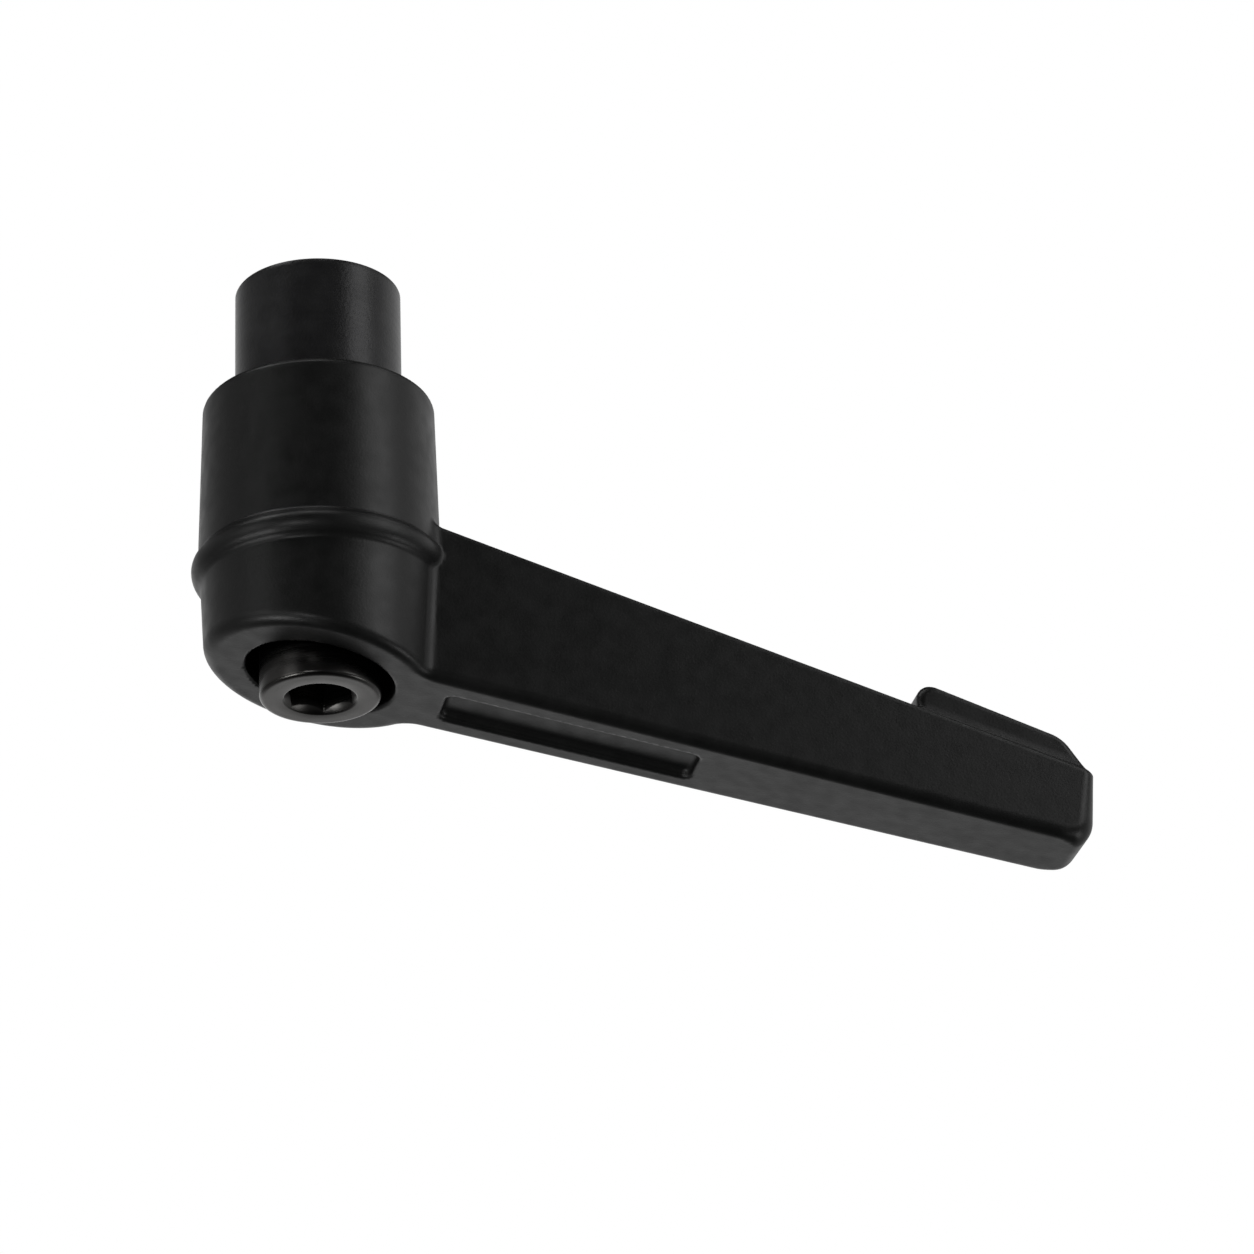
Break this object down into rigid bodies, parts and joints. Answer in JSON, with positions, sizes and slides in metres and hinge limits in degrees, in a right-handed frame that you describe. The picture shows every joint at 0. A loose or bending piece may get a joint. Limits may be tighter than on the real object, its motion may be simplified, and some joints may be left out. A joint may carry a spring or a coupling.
{
  "type": "clamping lever",
  "caption": "Adjustable clamping lever: a cast handle with a round hub and a sloping arm on a toothed steel insert with a threaded end, held by a socket screw and a spring.",
  "frame": {"origin": "centre of the boss's end face, on the axis of the threaded hole", "axes": "+Z along the axis out of the threaded hole's mouth, +X from the axis towards the arm's tip; the lever is the same on both sides of the XZ plane"},
  "size_m": [0.0751, 0.0212, 0.0479],
  "materials": {
    "coated_casting": "black powder coat with a fine texture",
    "black_steel": "satin black oxide",
    "screw_steel": "shiny black oxide",
    "spring_steel": "bright drawn wire"
  },
  "bodies": {
    "insert": {"threaded_insert": "black_steel", "retaining_screw": "screw_steel"},
    "spring": {"return_spring": "spring_steel"},
    "handle": {"lever_handle": "coated_casting"}
  },
  "joints": [
    {"name": "lever_index", "type": "hinge", "parent": "insert", "child": "spring", "pos_m": [0, 0, 0], "axis": [0, 0, 1], "continuous": true},
    {"name": "lever_lift", "type": "slide", "parent": "spring", "child": "handle", "axis": [0, 0, -1], "range_m": [0, 0.0038], "stiffness_N_per_m": 2000, "springref_m": -0.004, "deforming": ["return_spring"]}
  ]
}
